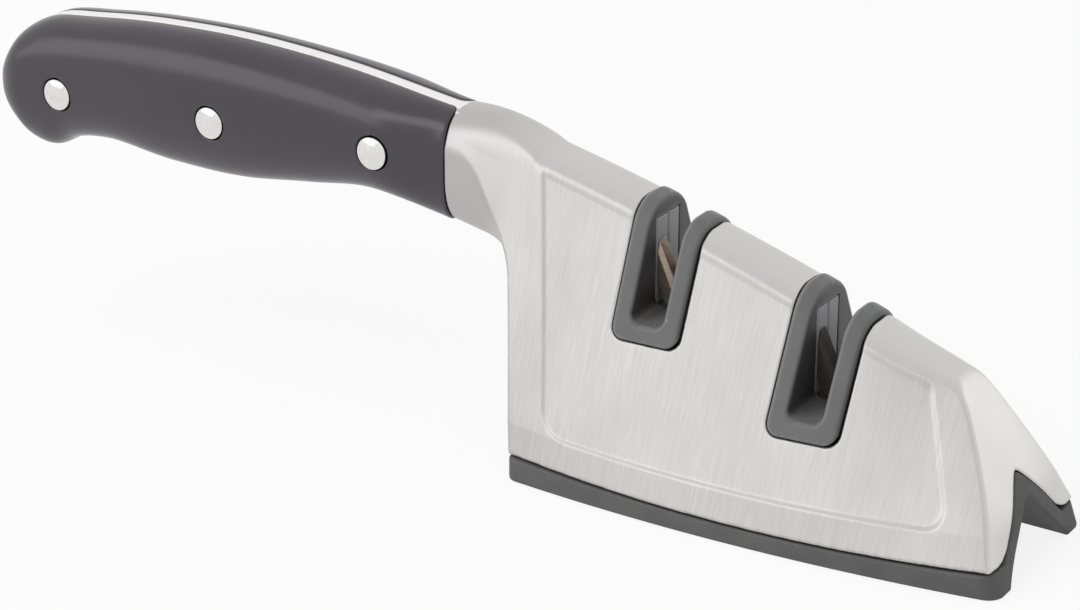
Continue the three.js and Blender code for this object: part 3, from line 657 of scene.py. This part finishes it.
def gripField(x, y, z):  # the whole handle, scales and tang together
    low, high = gripBottom(x), gripTop(x)
    outward = np.maximum(np.abs(y) - scaleInner, 0)
    middle, tall = (low + high) / 2, (high - low) / 2
    section = squircle(outward, z - middle, gripThick(x) - scaleInner, tall, handle["power"])
    return np.maximum(section, buttX - x)


def makeScale(name, side, node):
    end = jointX - handle["fit"]

    def field(x, y, z):
        out = side * y
        inner = roundMax(x - end, scaleInner - out, handle["tangFillet"])
        shape = roundMax(gripField(x, y, z), inner, handle["edgeRound"])
        for spot in rivets.values():
            bore = np.hypot(x - spot["x"], z - spot["z"]) - spot["radius"] - rivet["gap"]
            sink = np.maximum(bore, handle["halfThick"] - rivet["head"] - rivet["gap"] - out)
            shape = roundMax(shape, -sink, handle["boreRound"])
        return shape

    low, high = corners(node)
    points, quads = wrapField(field, low - room, high + room, handle["cell"])
    return meshPiece(name, points, quads, gripFinish, "grip_plastic", node)


nearScale = makeScale("near_handle_scale", -1, "near_scale")
makeScale("far_handle_scale", 1, "far_scale")
print("handle scales:", len(nearScale.data.polygons), "faces each")


# Bright edge of the tang, all round between the scales
tang = {"bevel": 0.25, "lift": 0.8, "liftLength": 3, "flare": 4, "tuck": 1, "plainRows": 90, "flareRows": 30,
        "flat": 0.4}


def tangHalf(x):  # the tang spreads into the bolster in a fillet
    radius = handle["tangFillet"] + handle["fit"]
    along = np.clip(x - (jointX - radius), 0, radius)
    return handle["tangHalf"] + radius - np.sqrt(radius ** 2 - along ** 2)


def sectionRise(x, y):  # height of the handle's section at y, as a share of its half height
    outward = np.clip((np.abs(y) - scaleInner) / (gripThick(x) - scaleInner), 0, 1)
    return (1 - outward ** handle["power"]) ** (1 / handle["power"])


def makeTang():
    bevel, flat = tang["bevel"], tang["flat"]
    flareX = jointX - tang["flare"]
    turn = np.linspace(0, math.pi / 2, tang["plainRows"])  # rows lie closer at the butt
    plain = buttX + bevel + (flareX - buttX - bevel) * (1 - np.cos(turn))
    flare = np.linspace(flareX, jointX + tang["tuck"], tang["flareRows"])[1:]
    points, rows = [], []
    for x in np.concatenate([plain, flare]):
        at = min(x, jointX)
        half = tangHalf(at)
        low, high = gripBottom(at), gripTop(at)
        middle, tall = (low + high) / 2, (high - low) / 2
        ring = []
        for sign in (-1, 1):  # along the lower edge, then back along the upper one
            for y in sign * np.array([-1.0, -1 + bevel / half, -flat, flat, 1 - bevel / half, 1.0]) * half:
                drop = bevel if abs(y) > half - bevel / 2 else 0
                if sign < 0:
                    drop += tang["lift"] * ramp(at, jointX - tang["liftLength"], jointX)  # behind the scales
                ring.append((x, -y, middle + sign * (tall * sectionRise(at, y) - drop)))
        rows.append(list(range(len(points), len(points) + len(ring))))
        points += ring
    count = len(rows[0])
    faces = [rows[0][::-1], rows[-1]]
    for a, b in zip(rows, rows[1:]):
        faces += [(a[(i + 1) % count], b[(i + 1) % count], b[i], a[i]) for i in range(count)]
    meshPiece("tang_strip", points, faces, tangFinish, "body_metal", "housing")


makeTang()


def makeRivetHead(name, spot, side, node):
    face = handle["halfThick"]
    radius, edge, dome = spot["radius"], rivet["edge"], rivet["dome"]
    rim = edge * rivet["rim"]
    turnIn, turnUp = (edge * share for share in rivet["turn"])
    profile = [(0.0, face + dome + rim)]
    for s in np.linspace(rivet["firstRing"], 1, rivet["rings"]):
        profile.append(((radius - edge) * s, face + dome * (1 - s ** 2) + rim))
    profile += [(radius - turnIn, face + turnUp), (radius, face - edge), (radius, face - rivet["head"])]
    points = [(spot["x"], side * profile[0][1], spot["z"])]
    n = rivet["sides"]
    for r, h in profile[1:]:
        for a in np.linspace(0, 2 * math.pi, n, endpoint=False):
            points.append((spot["x"] + r * math.cos(a), side * h, spot["z"] + r * math.sin(a)))
    faces = [(0, 1 + i, 1 + (i + 1) % n) for i in range(n)]
    for k in range(len(profile) - 2):
        for i in range(n):
            a, b = 1 + k * n + i, 1 + k * n + (i + 1) % n
            faces.append((a, a + n, b + n, b))
    last = 1 + (len(profile) - 2) * n
    faces.append(tuple(range(last + n - 1, last - 1, -1)))
    if side > 0:
        faces = [f[::-1] for f in faces]
    meshPiece(name, points, faces, rivetFinish, "rivet_metal", node)


for name, spot in rivets.items():
    makeRivetHead(f"rivet_head_tube_{name}", spot, -1, f"rivet_tube_{name}")
    makeRivetHead(f"rivet_head_pin_{name}", spot, 1, f"rivet_pin_{name}")
print("rivets ready")


# Holders and bars in the slots
holder = {"seat": 2.2, "drop": 1.6, "depth": 4.2, "angle": 25.0, "crossing": 14.6, "fit": 0.25,
          "round": 0.3, "cell": 0.2}
bar = {"thick": 3.0, "blade": 4.0, "lead": 0.6, "bevel": 1.1, "bevelDepth": 0.6, "above": 9.5, "below": 7.0,
       "round": 0.1, "cell": 0.16, "room": 6}


def holderTop(x, stage):  # level, then down with the spine
    return np.minimum(stage["spine"], spineHeight(x)) - holder["drop"]


def makeHolder(name, stage, side, node):
    slotHalf = stage["half"] - guide["rim"]
    half = slotHalf + holder["seat"] - holder["fit"]
    base = stage["floor"] + holder["fit"]

    def field(x, y, z):
        off, out = np.abs(x - stage["x"]), side * y
        thick = np.maximum(holder["fit"] / 2 - out, out - holder["depth"])
        tall = np.maximum(base - z, z - holderTop(x, stage))
        shape = roundMax(roundMax(off - half, tall, holder["round"]), thick, holder["round"])
        return roundMax(shape, slotHalf - off, holder["round"])

    low, high = corners(node)
    points, quads = wrapField(field, low - room, high + room, holder["cell"])
    meshPiece(name, points, quads, holderFinish, "holder_plastic", node)


def makeBar(name, stage, side, node, finish, slot):  # flat bar on edge, its upper edge ground to a bevel
    slotHalf = stage["half"] - guide["rim"] - holder["fit"] / 2
    base = stage["floor"] + 2 * holder["fit"]
    tilt = math.radians(holder["angle"])

    def field(x, y, z):
        across, rise = side * (x - stage["x"]), z - stage["spine"] + holder["crossing"]
        lift = rise * math.sin(tilt) - across * math.cos(tilt) - bar["lead"]
        along = rise * math.cos(tilt) + across * math.sin(tilt)
        out = side * y - holder["depth"]
        slope = bar["bevelDepth"] / bar["bevel"]
        ground = (out + bar["bevelDepth"] + slope * lift) / math.hypot(1, slope)
        ends = np.maximum(along - bar["above"], -bar["below"] - along)
        shape = np.maximum(np.maximum(lift, -bar["blade"] - lift), ends)
        shape = np.maximum(shape, np.maximum(np.abs(x - stage["x"]) - slotHalf, base - z))
        return roundMax(shape, np.maximum(np.maximum(out, ground), -bar["thick"] - out), bar["round"])

    low, high = corners(node)
    points, quads = wrapField(field, low - bar["room"], high + bar["room"], bar["cell"])
    meshPiece(name, points, quads, finish, slot, node)


# Guides: U shaped saddles over the spine
def makeGuide(name, stage, node):
    depth = holder["depth"] + guide["fit"]
    slotHalf = stage["half"] - guide["rim"]

    def field(x, y, z):
        shape = trough(x, z, stage, stage["half"], stage["under"], guide["corner"])
        shape = roundMax(shape, tentField(x, y, z) - guide["proud"], guide["outerRound"])
        slot = trough(x, z, stage, slotHalf, stage["floor"], guide["slotCorner"])
        shape = roundMax(shape, -slot, guide["rimRound"])
        pocket = np.maximum(np.abs(x - stage["x"]) - slotHalf - holder["seat"], np.abs(y) - depth)
        pocket = np.maximum(np.maximum(pocket, z - holderTop(x, stage) - guide["fit"]), stage["floor"] - z)
        return roundMax(shape, -pocket, guide["pocketRound"])

    low, high = corners(node)
    points, quads = wrapField(field, low - room, high + room, guide["cell"])
    meshPiece(f"{name}_slot_guide", points, quads, guideFinish, "guide_plastic", node)


elements = {"coarse": ("carbide", carbideFinish, "carbide"), "fine": ("stone", stoneFinish, "ceramic_stone")}
for name, stage in stages.items():
    makeGuide(name, stage, f"{name}_guide")
    kind, finish, slot = elements[name]
    for side, word in ((-1, "near"), (1, "far")):
        makeHolder(f"{name}_{word}_holder_block", stage, side, f"{name}_holder_{word}")
        makeBar(f"{name}_{word}_{kind}_bar", stage, side, f"{name}_{kind}_{word}", finish, slot)
print("guides, holders and bars ready")


# Rubber sole
def soleField(x, y, z):
    half = baseHalf(x) + sole["overhang"]
    ledge = edgeHeight(x) - sole["gap"]
    upper = np.minimum(z - ledge, roofField(y, z, roofHeight))
    lower = np.maximum(-z, -roofField(y, z, sole["grooveHeight"]))
    shape = roundMax(np.abs(y) - half, (x - noseLine(y, z)) * sole["noseCos"], sole["cornerRound"])
    shape = roundMax(shape, lower, sole["edgeRound"])
    shape = roundMax(shape, heelLine(np.maximum(z, ledge)) - x, sole["heelRound"])  # upright below the metal
    return roundMax(shape, upper, sole["topRound"])


def makeSole():
    low, high = soleLow - sole["roomBelow"], soleHigh + sole["roomAbove"]
    points, quads = wrapField(soleField, low, high, sole["cell"])
    meshPiece("grooved_rubber_sole", points, quads, rubberFinish, "sole_rubber", "rubber_sole")


makeSole()
print("sole ready")

# Pieces that keep their frame shape
for node, obj in nodes.items():
    finish = screwFinish if "screw" in node else frameFinish if node == "base_frame" else None
    if finish:
        obj.data.materials.clear()
        obj.data.materials.append(finish)

# Camera at the photograph's place
shot = {"place": (0.324729, -0.494355, 0.280738), "yaw": 32.342, "pitch": 23.467, "roll": 0.196,
        "lens": 104.593, "sensor": 36, "clip": (0.01, 20)}


def makeCamera():
    yaw, pitch, roll = (math.radians(shot[k]) for k in ("yaw", "pitch", "roll"))
    right = Vector((math.cos(yaw), math.sin(yaw), 0))
    back = Vector((math.sin(yaw) * math.cos(pitch), -math.cos(yaw) * math.cos(pitch), math.sin(pitch)))
    up = back.cross(right)
    right, up = right * math.cos(roll) + up * math.sin(roll), up * math.cos(roll) - right * math.sin(roll)
    data = bpy.data.cameras.new("photo_camera")
    data.sensor_fit, data.sensor_width, data.lens = "HORIZONTAL", shot["sensor"], shot["lens"]
    data.clip_start, data.clip_end = shot["clip"]
    camera = bpy.data.objects.new("photo_camera", data)
    axes = Matrix((right, up, back)).transposed().to_4x4()
    camera.matrix_world = Matrix.Translation(shot["place"]) @ axes
    bpy.context.scene.collection.objects.link(camera)
    bpy.context.scene.camera = camera


makeCamera()

# Light and floor
studio = {"world": 0.25, "seen": 1.0, "floor": 0.93, "floorGlow": 0.86, "floorWhite": 1.0, "floorSize": 6,
          "floorRough": 0.9, "aim": (0, 0, 0.03)}
lamps = {  # place, size, power and whether it shows in shiny pieces
    "band_softbox": ((-0.665, -0.836, 0.36), (0.8, 0.5), 1.0, True),
    "side_softbox": ((-0.20, -0.98, 0.66), (0.5, 0.4), 0.7, True),
    "nose_softbox": ((0.85, 1.00, 0.35), (0.8, 0.8), 1.0, True),
    "fill_softbox": ((-0.70, -0.80, 1.30), (1.2, 1.2), 14.0, False),
    "top_softbox": ((-0.10, 0.10, 1.40), (1.2, 1.2), 5.0, False),
}


def addLamp(name, place, size, power, shown):
    data = bpy.data.lights.new(name, "AREA")
    data.energy, data.shape = power, "RECTANGLE"
    data.size, data.size_y = size
    lamp = bpy.data.objects.new(name, data)
    lamp.location = place
    lamp.visible_glossy = shown
    lamp.rotation_euler = (Vector(studio["aim"]) - Vector(place)).to_track_quat("-Z", "Y").to_euler()
    bpy.context.scene.collection.objects.link(lamp)


def seenDirectly(tree):  # 1 on rays that show the background: camera, glossy and transmission rays
    paths = addNode(tree, "ShaderNodeLightPath")
    seen = mathNode(tree, "MAXIMUM", paths.outputs["Is Camera Ray"], paths.outputs["Is Glossy Ray"])
    return mathNode(tree, "MAXIMUM", seen, paths.outputs["Is Transmission Ray"])


def showEither(tree, share, first, second, output):  # first where share is 0, second where it is 1
    mix = addNode(tree, "ShaderNodeMixShader")
    for socket, source in zip(mix.inputs, (share, first.outputs[0], second.outputs[0])):
        tree.links.new(source, socket)
    tree.links.new(mix.outputs[0], tree.nodes[output].inputs["Surface"])


def makeWorld():
    world = bpy.data.worlds.new("white_studio")
    bpy.context.scene.world = world
    world.use_nodes = True
    tree = world.node_tree
    plain, white = tree.nodes["Background"], addNode(tree, "ShaderNodeBackground")
    for node, strength in ((plain, studio["world"]), (white, studio["seen"])):
        node.inputs["Color"].default_value = (1, 1, 1, 1)
        node.inputs["Strength"].default_value = strength
    showEither(tree, seenDirectly(tree), plain, white, "World Output")


def makeFloor():
    bpy.ops.mesh.primitive_plane_add(size=studio["floorSize"])
    floor = bpy.context.object
    floor.name = "pale_floor"
    finish, tree, shader = newFinish("pale_floor", (studio["floor"],) * 3, 0.0, studio["floorRough"])
    glow = addNode(tree, "ShaderNodeEmission", Strength=studio["floorWhite"])
    share = mathNode(tree, "MULTIPLY", seenDirectly(tree), studio["floorGlow"])
    showEither(tree, share, shader, glow, "Material Output")
    floor.data.materials.append(finish)


makeWorld()
makeFloor()
for name, values in lamps.items():
    addLamp(name, *values)
bpy.context.scene.view_settings.view_transform = "Standard"
print("studio ready")
